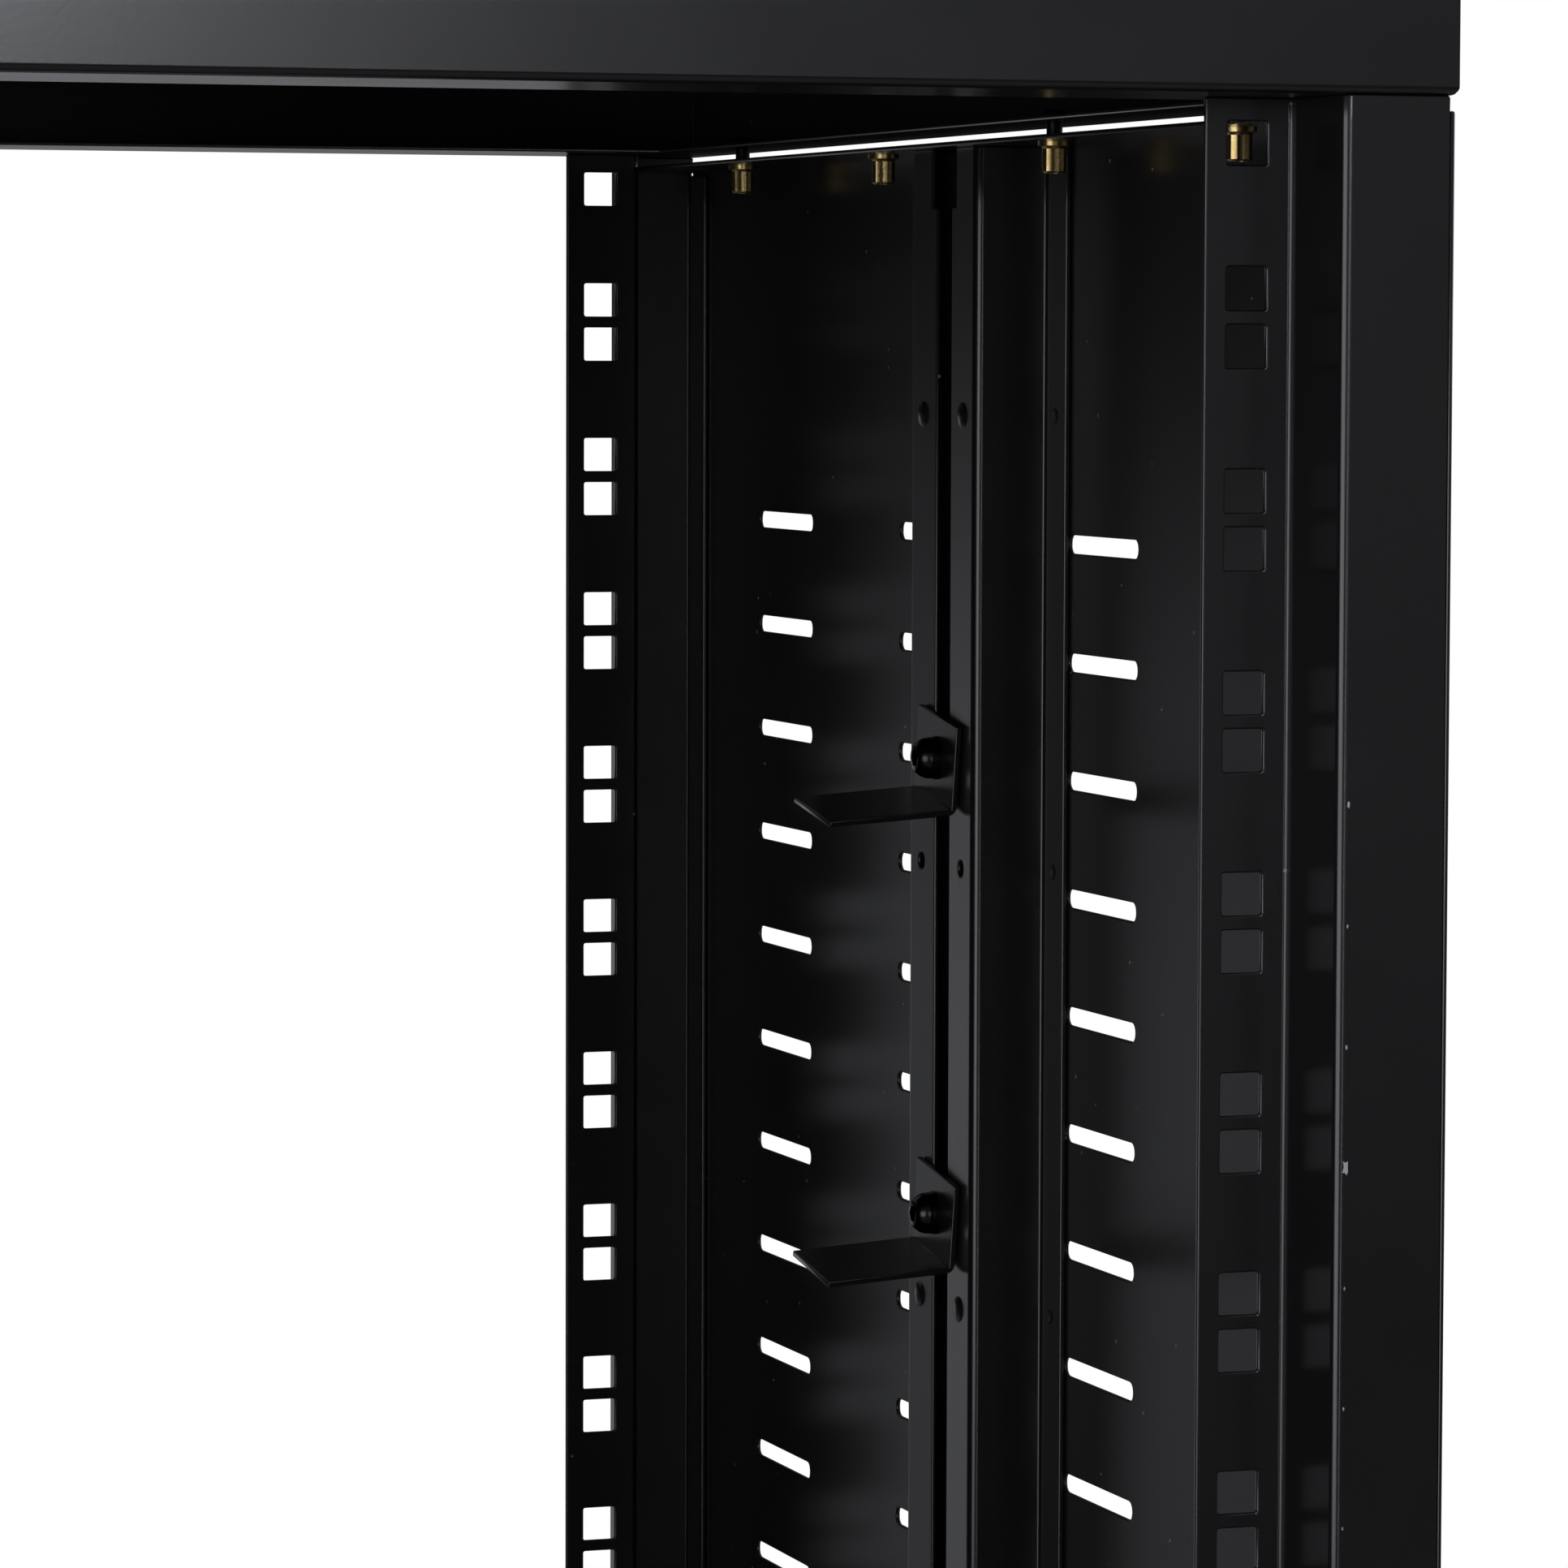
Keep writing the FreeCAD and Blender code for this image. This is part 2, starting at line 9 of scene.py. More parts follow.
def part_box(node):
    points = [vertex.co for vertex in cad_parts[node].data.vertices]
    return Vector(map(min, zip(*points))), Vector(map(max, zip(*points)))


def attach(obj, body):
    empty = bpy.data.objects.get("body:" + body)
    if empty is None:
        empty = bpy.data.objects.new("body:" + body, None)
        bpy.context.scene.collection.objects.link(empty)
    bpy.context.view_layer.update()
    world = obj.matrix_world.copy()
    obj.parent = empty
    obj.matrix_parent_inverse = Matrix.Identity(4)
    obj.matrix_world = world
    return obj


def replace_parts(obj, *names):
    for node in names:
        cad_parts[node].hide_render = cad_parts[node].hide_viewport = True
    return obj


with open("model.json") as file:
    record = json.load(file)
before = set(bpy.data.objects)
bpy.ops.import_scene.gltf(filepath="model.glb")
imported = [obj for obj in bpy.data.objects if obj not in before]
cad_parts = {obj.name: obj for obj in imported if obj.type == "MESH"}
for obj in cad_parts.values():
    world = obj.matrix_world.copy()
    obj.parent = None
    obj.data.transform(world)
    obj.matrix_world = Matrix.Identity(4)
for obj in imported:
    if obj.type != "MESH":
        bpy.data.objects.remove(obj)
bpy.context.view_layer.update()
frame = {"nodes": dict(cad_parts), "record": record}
nodes = frame["nodes"]
scene = bpy.context.scene
mm = 0.001
tiny = 1e-6         # m, nearer than this counts as touching
holeMargin = 6.35   # mm, from the top of a rack unit to the centre of its upper hole
print("frame loaded,", len(nodes), "nodes")


def mount(name):  # where the record has a mount
    return Vector(next(m for m in frame["record"]["mounts"] if m["name"] == name)["pos_m"])


def bayTop():  # the top of the uppermost rack unit
    return mount("right_rail_top_unit_upper_hole").z + holeMargin * mm


def linear(hexText):  # sRGB hex to linear RGBA
    parts = [int(hexText[i:i + 2], 16) / 255 for i in (1, 3, 5)]
    return [c / 12.92 if c <= 0.04045 else ((c + 0.055) / 1.055) ** 2.4 for c in parts] + [1.0]


def put(tree, kind, inputs=None, **settings):  # adds a node, sets it and links it
    node = tree.nodes.new(kind)
    for name, value in settings.items():
        setattr(node, name, value)
    for socket, value in (inputs or {}).items():
        if isinstance(value, bpy.types.NodeSocket):
            tree.links.new(value, node.inputs[socket])
        else:
            node.inputs[socket].default_value = value
    return node


def newMaterial(name):
    material = bpy.data.materials.new(name)
    material.use_nodes = True
    tree = material.node_tree
    tree.nodes.clear()
    shader = put(tree, "ShaderNodeBsdfPrincipled")
    put(tree, "ShaderNodeOutputMaterial", {"Surface": shader.outputs["BSDF"]})
    return material, tree, shader


coat = {
    "dark": "#070708",       # jet black polyester, cured
    "worn": "#0e0e0f",       # where handling has dulled it
    "dust": "#6e6e70",
    "roughness": 0.225,
    "spread": (-0.05, 0.06),   # what the handling marks add to the roughness
    "peelSize": 1.4,         # mm, orange peel
    "peelStrength": 0.03,    # so shallow that it only ruffles a highlight
    "peelDepth": 0.3,        # mm
    "patchSize": 90,         # mm, handling marks
    "dustCell": 9,           # mm between specks of dust
    "dustSize": 0.45,
    "bareCells": 0.82,       # share of the cells with no speck
}


def powderCoat():  # satin black powder coat, sprayed and baked on sheet steel: a soft gloss with orange peel
    material, tree, shader = newMaterial("satin_black_powder_coat")
    place = put(tree, "ShaderNodeTexCoord").outputs["Object"]
    patch = put(tree, "ShaderNodeTexNoise", {
        "Vector": place, "Scale": 1000 / coat["patchSize"], "Detail": 4.0, "Roughness": 0.6})
    tone = put(tree, "ShaderNodeMix", {
        0: patch.outputs["Fac"], 6: linear(coat["dark"]), 7: linear(coat["worn"])}, data_type="RGBA")
    # specks of dust: one dot in some of the cells
    cell = put(tree, "ShaderNodeTexVoronoi", {
        "Vector": place, "Scale": 1000 / coat["dustCell"], "Randomness": 1.0})
    dot = put(tree, "ShaderNodeMath", {
        0: cell.outputs["Distance"], 1: coat["dustSize"] / coat["dustCell"]}, operation="LESS_THAN")
    pick = put(tree, "ShaderNodeSeparateColor", {"Color": cell.outputs["Color"]})
    some = put(tree, "ShaderNodeMath", {
        0: pick.outputs["Red"], 1: coat["bareCells"]}, operation="GREATER_THAN")
    speck = put(tree, "ShaderNodeMath", {0: dot.outputs[0], 1: some.outputs[0]}, operation="MULTIPLY")
    faint = put(tree, "ShaderNodeMath", {
        0: speck.outputs[0], 1: pick.outputs["Green"]}, operation="MULTIPLY")
    dusty = put(tree, "ShaderNodeMix", {
        0: faint.outputs[0], 6: tone.outputs[2], 7: linear(coat["dust"])}, data_type="RGBA")
    rough = put(tree, "ShaderNodeMapRange", {
        "Value": patch.outputs["Fac"], "To Min": coat["roughness"] + coat["spread"][0],
        "To Max": coat["roughness"] + coat["spread"][1]})
    peel = put(tree, "ShaderNodeTexNoise", {
        "Vector": place, "Scale": 1000 / coat["peelSize"], "Detail": 2.0})
    bump = put(tree, "ShaderNodeBump", {
        "Height": peel.outputs["Fac"], "Strength": coat["peelStrength"], "Distance": coat["peelDepth"] * mm})
    tree.links.new(dusty.outputs[2], shader.inputs["Base Color"])
    tree.links.new(rough.outputs["Result"], shader.inputs["Roughness"])
    tree.links.new(bump.outputs["Normal"], shader.inputs["Normal"])
    return material


plating = {
    "spread": (-0.08, 0.1),    # what the clouds add to the roughness
    "fineSize": 0.6,         # mm, the rolled steel under the plate
    "fineStrength": 0.08,
    "fineDepth": 0.2,        # mm
}


def platedSteel(name, pale, dull, roughness, cloudSize):  # plated steel: cloudy passivation over rolled sheet
    material, tree, shader = newMaterial(name)
    place = put(tree, "ShaderNodeTexCoord").outputs["Object"]
    cloud = put(tree, "ShaderNodeTexNoise", {
        "Vector": place, "Scale": 1000 / cloudSize, "Detail": 5.0, "Roughness": 0.65})
    tone = put(tree, "ShaderNodeMix", {
        0: cloud.outputs["Fac"], 6: linear(pale), 7: linear(dull)}, data_type="RGBA")
    rough = put(tree, "ShaderNodeMapRange", {
        "Value": cloud.outputs["Fac"], "To Min": roughness + plating["spread"][0],
        "To Max": roughness + plating["spread"][1]})
    fine = put(tree, "ShaderNodeTexNoise", {
        "Vector": place, "Scale": 1000 / plating["fineSize"], "Detail": 2.0})
    bump = put(tree, "ShaderNodeBump", {
        "Height": fine.outputs["Fac"], "Strength": plating["fineStrength"],
        "Distance": plating["fineDepth"] * mm})
    tree.links.new(tone.outputs[2], shader.inputs["Base Color"])
    tree.links.new(rough.outputs["Result"], shader.inputs["Roughness"])
    tree.links.new(bump.outputs["Normal"], shader.inputs["Normal"])
    shader.inputs["Metallic"].default_value = 1.0
    return material


moulding = {
    "scuffSize": 11,         # mm
    "spread": (-0.07, 0.07),   # what the scuffs add to the roughness
    "skinStrength": 0.2,
    "skinDepth": 0.3,        # mm
}


def mouldedPolymer(name, deep, scuffed, roughness, skinSize):  # moulded rubber or plastic: matt skin, scuffed
    material, tree, shader = newMaterial(name)
    place = put(tree, "ShaderNodeTexCoord").outputs["Object"]
    scuff = put(tree, "ShaderNodeTexNoise", {
        "Vector": place, "Scale": 1000 / moulding["scuffSize"], "Detail": 6.0, "Roughness": 0.7})
    tone = put(tree, "ShaderNodeMix", {
        0: scuff.outputs["Fac"], 6: linear(deep), 7: linear(scuffed)}, data_type="RGBA")
    skin = put(tree, "ShaderNodeTexNoise", {"Vector": place, "Scale": 1000 / skinSize, "Detail": 3.0})
    bump = put(tree, "ShaderNodeBump", {
        "Height": skin.outputs["Fac"], "Strength": moulding["skinStrength"],
        "Distance": moulding["skinDepth"] * mm})
    rough = put(tree, "ShaderNodeMapRange", {
        "Value": scuff.outputs["Fac"], "To Min": roughness + moulding["spread"][0],
        "To Max": roughness + moulding["spread"][1]})
    tree.links.new(tone.outputs[2], shader.inputs["Base Color"])
    tree.links.new(rough.outputs["Result"], shader.inputs["Roughness"])
    tree.links.new(bump.outputs["Normal"], shader.inputs["Normal"])
    return material


# two colours, roughness and the size of the clouds or of the skin's grain in mm
blackCoat = powderCoat()
yellowZinc = platedSteel("yellow_zinc_plate", "#d6c088", "#9a7d4c", 0.27, 3)   # brassy and half bright
clearZinc = platedSteel("clear_zinc_plate", "#b8bcc2", "#8d9299", 0.36, 7)     # cool grey, clouded
blackOxide = platedSteel("black_oxide_steel", "#2a2a2c", "#171718", 0.42, 4)   # dull black
blackZinc = platedSteel("black_zinc_plate", "#37373a", "#1f1f21", 0.2, 4)      # bright black
bareSteel = platedSteel("bare_steel", "#e2e2e4", "#b9bbc0", 0.45, 1)           # pale where the coat is lost
blackRubber = mouldedPolymer("black_rubber", "#121213", "#232324", 0.72, 0.8)
greyNylon = mouldedPolymer("dark_nylon", "#1b1b1d", "#2b2b2d", 0.5, 1.1)
for node in nodes.values():
    node.data.materials.clear()
    node.data.materials.append(blackCoat)
print("materials made")


def addShape(target, shape, matrix=Matrix.Identity(4)):  # a placed copy of one bmesh joins another
    copy = shape.copy()
    copy.transform(matrix)
    mesh = bpy.data.meshes.new("shape")
    copy.to_mesh(mesh)
    copy.free()
    target.from_mesh(mesh)
    bpy.data.meshes.remove(mesh)


def finishPiece(bm, name, material, smooth=35):  # an object on the rack, smooth up to that many degrees
    mesh = bpy.data.meshes.new(name)
    bm.to_mesh(mesh)
    bm.free()
    mesh.materials.append(material)
    mesh.shade_smooth()
    mesh.set_sharp_from_angle(angle=math.radians(smooth))
    piece = bpy.data.objects.new(name, mesh)
    scene.collection.objects.link(piece)
    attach(piece, "root")
    return piece


def turned(profile, steps=32):  # a profile of (radius, height) in mm spun about Z
    bm = bmesh.new()
    verts = [bm.verts.new((r * mm, 0, z * mm)) for r, z in profile]
    edges = [bm.edges.new(pair) for pair in zip(verts, verts[1:])]
    bmesh.ops.spin(bm, geom=verts + edges, cent=(0, 0, 0), axis=(0, 0, 1), angle=2 * math.pi, steps=steps,
                   use_merge=True)
    bmesh.ops.remove_doubles(bm, verts=bm.verts, dist=tiny)
    bmesh.ops.recalc_face_normals(bm, faces=bm.faces)
    return bm


def roundEdges(bm, edges, offset, segments):
    bmesh.ops.bevel(bm, geom=edges, offset=offset * mm, affect="EDGES", segments=segments, profile=0.5,
                    material=-1)


def topEdges(bm, height):  # the edges that lie at a height in mm
    return [e for e in bm.edges if all(v.co.z > height * mm - tiny for v in e.verts)]


def grownVerts(geom):
    return [g for g in geom if isinstance(g, bmesh.types.BMVert)]


def prism(sides, radius, height, edge=0.0):  # an upright prism from z = 0, its top edge eased
    bm = bmesh.new()
    bmesh.ops.create_cone(bm, cap_ends=True, segments=sides, radius1=radius * mm, radius2=radius * mm,
                          depth=height * mm)
    bmesh.ops.translate(bm, verts=bm.verts, vec=(0, 0, height * mm / 2))
    if edge:
        roundEdges(bm, topEdges(bm, height), edge, 2)
    return bm


# the curve of a button head, as shares of its radius and height
buttonCurve = ((1, 0), (1, 0.2), (0.97, 0.42), (0.89, 0.63), (0.77, 0.82), (0.64, 0.96), (0.57, 1))


def socketHead(radius, height, hexRadius, depth):  # a button head with a hexagon socket, seat at z = 0
    bm = turned([(r * radius, z * height) for r, z in buttonCurve], 32)
    rim = topEdges(bm, height)
    hexRing = bmesh.ops.create_circle(bm, cap_ends=False, segments=6, radius=hexRadius * mm,
                                      matrix=Matrix.Translation((0, 0, height * mm)))["verts"]
    hexEdges = [e for e in bm.edges if all(v in hexRing for v in e.verts)]
    bmesh.ops.bridge_loops(bm, edges=rim + hexEdges)
    down = bmesh.ops.extrude_edge_only(bm, edges=hexEdges)["geom"]
    floorRing = grownVerts(down)
    bmesh.ops.translate(bm, verts=floorRing, vec=(0, 0, -depth * mm))
    floorEdges = [g for g in down
                  if isinstance(g, bmesh.types.BMEdge) and all(v in floorRing for v in g.verts)]
    bmesh.ops.contextual_create(bm, geom=floorEdges)
    bmesh.ops.recalc_face_normals(bm, faces=bm.faces)
    return bm


towards = {  # turns a shape's Z axis
    "up": Matrix.Identity(4),
    "down": Matrix.Rotation(math.pi, 4, "X"),
    "left": Matrix.Rotation(-math.pi / 2, 4, "Y"),
    "right": Matrix.Rotation(math.pi / 2, 4, "Y"),
    "front": Matrix.Rotation(math.pi / 2, 4, "X"),
}


def at(x, y, z):
    return Matrix.Translation((x, y, z))


sheetEdge = {
    "rim": 0.45,            # mm, cut edges rounded by blasting and by the coat
    "rimTurn": 40,          # degrees, a sharper edge is a cut one
    "copyRim": 0.3,         # mm, the same on copies of CAD sheets
    "copyTurn": 60,
    "copyMerge": 0.002,     # mm
    "copyFlat": (1, 2),     # degrees, triangles as flat and as square as this become quads
    "cornerTurn": 80,       # degrees, a corner of the outline
    "flatWidth": 1.0,       # mm, narrower faces belong to a bend
    "flatCosine": 0.99998,  # faces as parallel as this are one flat
    "shadeTurn": 60,        # degrees, shading runs over gentler edges
    "bendSteps": 6,
}


def turnAt(edge):  # degrees between the two faces at an edge
    return math.degrees(edge.calc_face_angle(0)) if edge.is_manifold else 0


def bentLine(corners):  # a line in plan through corners (x, y, bend radius)
    points = []
    for index, (x, y, radius) in enumerate(corners):
        here = Vector((x, y))
        if not radius:
            points.append(here)
            continue
        back = (Vector(corners[index - 1][:2]) - here).normalized()
        on = (Vector(corners[index + 1][:2]) - here).normalized()
        half = back.angle(on) / 2
        centre = here + (back + on).normalized() * radius / math.sin(half)
        first = here + back * radius / math.tan(half) - centre
        last = here + on * radius / math.tan(half) - centre
        for step in range(sheetEdge["bendSteps"] + 1):
            points.append(centre + radius * first.slerp(last, step / sheetEdge["bendSteps"]).normalized())
    return points


def foldedSheet(line, levels, facing, gauge, leftOut):  # a line drawn up through levels, less some cells
    bm = bmesh.new()
    verts = [bm.verts.new((p.x, p.y, levels[0])) for p in line]
    row = [bm.edges.new(pair) for pair in zip(verts, verts[1:])]
    for low, high in zip(levels, levels[1:]):
        grown = bmesh.ops.extrude_edge_only(bm, edges=row)["geom"]
        lifted = set(grownVerts(grown))
        bmesh.ops.translate(bm, verts=list(lifted), vec=(0, 0, high - low))
        row = [g for g in grown if isinstance(g, bmesh.types.BMEdge) and all(v in lifted for v in g.verts)]
    bm.normal_update()
    if next(iter(bm.faces)).normal.dot(Vector(facing)) < 0:
        bmesh.ops.reverse_faces(bm, faces=bm.faces)
    cells = [f for f in bm.faces if leftOut(f.calc_center_median())]
    bmesh.ops.delete(bm, geom=cells, context="FACES")
    bmesh.ops.solidify(bm, geom=bm.faces[:], thickness=gauge)
    bm.normal_update()
    return bm


def throughEdges(bm, gauge):  # the short edges that cross the sheet at a corner of its outline
    return [e for e in bm.edges
            if abs(e.calc_length() - gauge) < 0.02 * mm and turnAt(e) > sheetEdge["cornerTurn"]]


def easeRims(bm):
    roundEdges(bm, [e for e in bm.edges if turnAt(e) > sheetEdge["rimTurn"]], sheetEdge["rim"], 2)


def sheetNormals(bm):  # flats shade flat, and bends and eased edges run smoothly into them
    bm.normal_update()
    flatOf = {}
    for face in bm.faces:
        if face in flatOf:
            continue
        flat = {"normal": face.normal.copy(), "area": 0.0}
        flatOf[face] = flat
        waiting = [face]
        corners = []
        while waiting:
            part = waiting.pop()
            flat["area"] += part.calc_area()
            corners += [v.co for v in part.verts]
            for beside in (f for e in part.edges for f in e.link_faces):
                if beside not in flatOf and beside.normal.dot(flat["normal"]) > sheetEdge["flatCosine"]:
                    flatOf[beside] = flat
                    waiting.append(beside)
        spans = [max(c[axis] for c in corners) - min(c[axis] for c in corners) for axis in range(3)]
        flat["wide"] = flat["area"] > max(spans) * sheetEdge["flatWidth"] * mm
    normals = []
    shadeCosine = math.cos(math.radians(sheetEdge["shadeTurn"]))
    for face in bm.faces:
        for corner in face.verts:
            near = [f for f in corner.link_faces if f.normal.dot(face.normal) > shadeCosine]
            flats = [flatOf[f] for f in near if flatOf[f]["wide"]]
            if flats:
                normals.append(max(flats, key=lambda flat: flat["area"])["normal"])
            else:
                normals.append(sum((f.normal for f in near), Vector()).normalized())
    return normals


def finishSheet(shape, name, parts, mirror=(1, 1, 1)):  # a sheet in place of CAD nodes, mirrored where asked
    bm = shape.copy()
    bm.transform(Matrix.Diagonal((*mirror, 1)))
    if mirror[0] * mirror[1] * mirror[2] < 0:
        bmesh.ops.reverse_faces(bm, faces=bm.faces)
    gaps = sum(1 for e in bm.edges if not e.is_manifold)
    print(name, len(bm.faces), "faces,", gaps, "open edges")
    normals = sheetNormals(bm)
    piece = finishPiece(bm, name, blackCoat, 180)
    piece.data.normals_split_custom_set(normals)
    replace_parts(piece, *parts)


cornerSheet = {
    "units": 16,
    "unit": 44.45,           # mm, and the rest of these
    "holePair": 31.75,
    "hole": 9.5,
    "holeCorner": 0.6,
    "bendInside": 1.0,
    "bendOutside": 2.2,
    "webLean": 1.0,          # the web leans out towards the front
    "leg": 15,
}


def makeCornerSheets():  # rail, web, front flange and wall leg, folded from one sheet
    railLow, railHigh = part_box("right_front_rail")
    postLow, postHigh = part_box("right_front_post")
    gauge = railHigh.y - railLow.y
    inside = cornerSheet["bendInside"] * mm
    web = railHigh.x + 2 * inside
    column = mount("right_rail_top_unit_upper_hole").x
    first = mount("right_rail_bottom_unit_lower_hole").z
    half = cornerSheet["hole"] * mm / 2
    outside = cornerSheet["bendOutside"] * mm
    line = bentLine([(railLow.x, railLow.y, 0), (column - half, railLow.y, 0), (column + half, railLow.y, 0),
                     (web, railLow.y, inside), (web + cornerSheet["webLean"] * mm, postLow.y, outside),
                     (postHigh.x, postLow.y, 0), (postHigh.x, postLow.y + cornerSheet["leg"] * mm, 0)])
    centres = [first + (unit * cornerSheet["unit"] + rise) * mm
               for unit in range(cornerSheet["units"]) for rise in (0, cornerSheet["holePair"])]
    levels = [postLow.z] + [z + side * half for z in centres for side in (-1, 1)] + [postHigh.z]

    def leftOut(spot):
        inHole = abs(spot.x - column) < half and any(abs(spot.z - z) < half for z in centres)
        overLeg = spot.x > postHigh.x - 0.01 * mm and not levels[1] < spot.z < levels[-2]
        return inHole or overLeg

    bm = foldedSheet(line, levels, (0, -1, 0), gauge, leftOut)
    roundEdges(bm, throughEdges(bm, gauge), cornerSheet["holeCorner"], 3)
    easeRims(bm)
    for side, x in (("right", 1), ("left", -1)):
        for end, y in (("front", 1), ("rear", -1)):
            corner = f"{side}_{end}"
            finishSheet(bm, f"{corner}_corner_sheet", (f"{corner}_rail", f"{corner}_post"), (x, y, 1))


strutBar = {
    "lip": 18.6,            # mm from the slot to the bend
    "lipSunk": {"front": 0.55, "rear": 0.3},   # mm, how far the clamps have drawn in the lip beside the slot
    "flare": 2.5,           # mm, the web leans out towards the wall
    "bendInside": 1.0,
    "gauge": 1.5,
    "entry": (3.5, 15),     # mm, half of the notch where the nuts go in
    "pin": 4.2,
    "pinRound": 1.932,      # mm, the pin holes' corners
    "pinsBelow": (183.4, 411.1, 638.8),    # mm under the bay's top
    "domesBelow": (68.45, 296.15, 523.85),
    # radius and height in mm
    "dome": ((0, 0.9), (1.2, 0.84), (2.3, 0.62), (3.1, 0.3), (3.7, -0.4), (0, -0.4)),
    "weld": ((0, 0.05), (0.9, 0.08), (1.4, 0.2), (1.8, 0.2), (2.2, -0.4), (0, -0.4)),
}


def makeStrutBars():  # a foot on the wall, a web that leans and a lip beside the slot
    low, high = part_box("right_front_strut")
    gauge = strutBar["gauge"] * mm
    bend = high.y - strutBar["lip"] * mm
    pinAt = (high.y + bend) / 2
    half = strutBar["pin"] * mm / 2
    entryWide, entryTall = (size * mm for size in strutBar["entry"])
    inside = strutBar["bendInside"] * mm
    foot = high.x - gauge
    pins = [bayTop() - below * mm for below in strutBar["pinsBelow"]]
    domes = [bayTop() - below * mm for below in strutBar["domesBelow"]]
    edges = [z + sign * half for z in pins for sign in (-1, 1)]
    levels = sorted([low.z, high.z, high.z - entryTall] + edges)
    dome = turned(strutBar["dome"], 24)
    weld = turned(strutBar["weld"], 20)

    def leftOut(spot):
        inPin = abs(spot.y - pinAt) < half and any(abs(spot.z - z) < half for z in pins)
        return inPin or (spot.y > high.y - entryWide and spot.z > high.z - entryTall)

    for end, y in (("front", 1), ("rear", -1)):
        sunk = strutBar["lipSunk"][end] * mm
        lip = [(low.x + sunk * (spot - bend) / (high.y - bend), spot, 0)
               for spot in (high.y, high.y - entryWide, pinAt + half, pinAt - half)]
        line = bentLine(lip + [(low.x, bend, inside + gauge), (foot, bend - strutBar["flare"] * mm, inside),
                               (foot, low.y, 0)])
        bm = foldedSheet(line, levels, (-1, 0, 0), gauge, leftOut)
        corners = [e for e in throughEdges(bm, gauge) if abs(e.verts[0].co.y - pinAt) < half + 0.1 * mm]
        roundEdges(bm, corners, strutBar["pinRound"], 4)
        easeRims(bm)
        rivets = bmesh.new()
        for z in domes:
            addShape(rivets, dome, at(low.x + sunk / 2, pinAt, z) @ towards["left"])
        for z in domes + pins:
            addShape(rivets, weld, at(foot, (low.y + bend - strutBar["flare"] * mm) / 2, z) @ towards["left"])
        for side, x in (("right", 1), ("left", -1)):
            finishSheet(bm, f"{side}_{end}_strut_bar", (f"{side}_{end}_strut",), (x, y, 1))
            marks = rivets.copy()
            marks.transform(Matrix.Diagonal((x, y, 1, 1)))
            bmesh.ops.recalc_face_normals(marks, faces=marks.faces)
            finishPiece(marks, f"{side}_{end}_strut_rivets", blackCoat, 60)


wallSheet = {
    "slotLength": 46,       # mm
    "slotWidth": 4.6,
    "slotPitch": 29.633,
    "slotFirst": 100.4,     # mm under the bay's top
    "slotRows": 18,
    "slotColumns": (-62, 62, 179.7),
    "slotRound": 2.208,     # mm, the slots' ends
    "cornerRound": 0.8,
}


def makeWallSheets():  # a flat sheet with three columns of slots
    low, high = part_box("right_side_wall")
    gauge = high.x - low.x
    long = wallSheet["slotLength"] * mm / 2
    half = wallSheet["slotWidth"] * mm / 2
    columns = [y * mm for y in wallSheet["slotColumns"]]
    rows = [bayTop() - (wallSheet["slotFirst"] + step * wallSheet["slotPitch"]) * mm
            for step in range(wallSheet["slotRows"])]
    along = sorted([low.y, high.y] + [y + end * long for y in columns for end in (-1, 1)])
    levels = sorted([low.z, high.z] + [z + end * half for z in rows for end in (-1, 1)])

    def leftOut(spot):
        return any(abs(spot.y - y) < long for y in columns) and any(abs(spot.z - z) < half for z in rows)

    bm = foldedSheet([Vector((low.x, y)) for y in along], levels, (-1, 0, 0), gauge, leftOut)
    ends = [e for e in throughEdges(bm, gauge) if low.y + 1 * mm < e.verts[0].co.y < high.y - 1 * mm]
    roundEdges(bm, ends, wallSheet["slotRound"], 6)
    outer = [e for e in bm.edges if turnAt(e) > sheetEdge["rimTurn"]
             and all(v.co.x > high.x - tiny and abs(v.co.y) > high.y - tiny for v in e.verts)]
    roundEdges(bm, outer, wallSheet["cornerRound"], 4)
    easeRims(bm)
    for side, x in (("right", 1), ("left", -1)):
        finishSheet(bm, f"{side}_wall_sheet", (f"{side}_side_wall",), (x, 1, 1))


def easedCopy(name, part):  # a CAD sheet with its cut edges eased
    bm = bmesh.new()
    bm.from_mesh(nodes[part].data)
    flat, square = (math.radians(turn) for turn in sheetEdge["copyFlat"])
    bmesh.ops.remove_doubles(bm, verts=bm.verts, dist=sheetEdge["copyMerge"] * mm)
    bmesh.ops.join_triangles(bm, faces=bm.faces, angle_face_threshold=flat, angle_shape_threshold=square)
    roundEdges(bm, [e for e in bm.edges if turnAt(e) > sheetEdge["copyTurn"]], sheetEdge["copyRim"], 2)
    finishSheet(bm, name, (part,))


chips = {
    "first": 150.2,         # mm under the bay's top
    "pitch": 26.5,          # mm, the marks of a roller
    "fromBend": 3.4,        # mm from the web
    "sizes": (0.7, 0.45, 0.55, 1.5, 0.4, 0.45, 0.4),   # mm, half of each flake's height
    "slim": 0.45,           # width for height
    "ragged": 0.4,          # how far the outline goes in and out
    "raggedTurns": (2.7, 1.9),   # radians from corner to corner and from flake to flake
    "sides": 9,
    "thick": 0.04,          # mm, bare steel stands just proud so that it shows
}


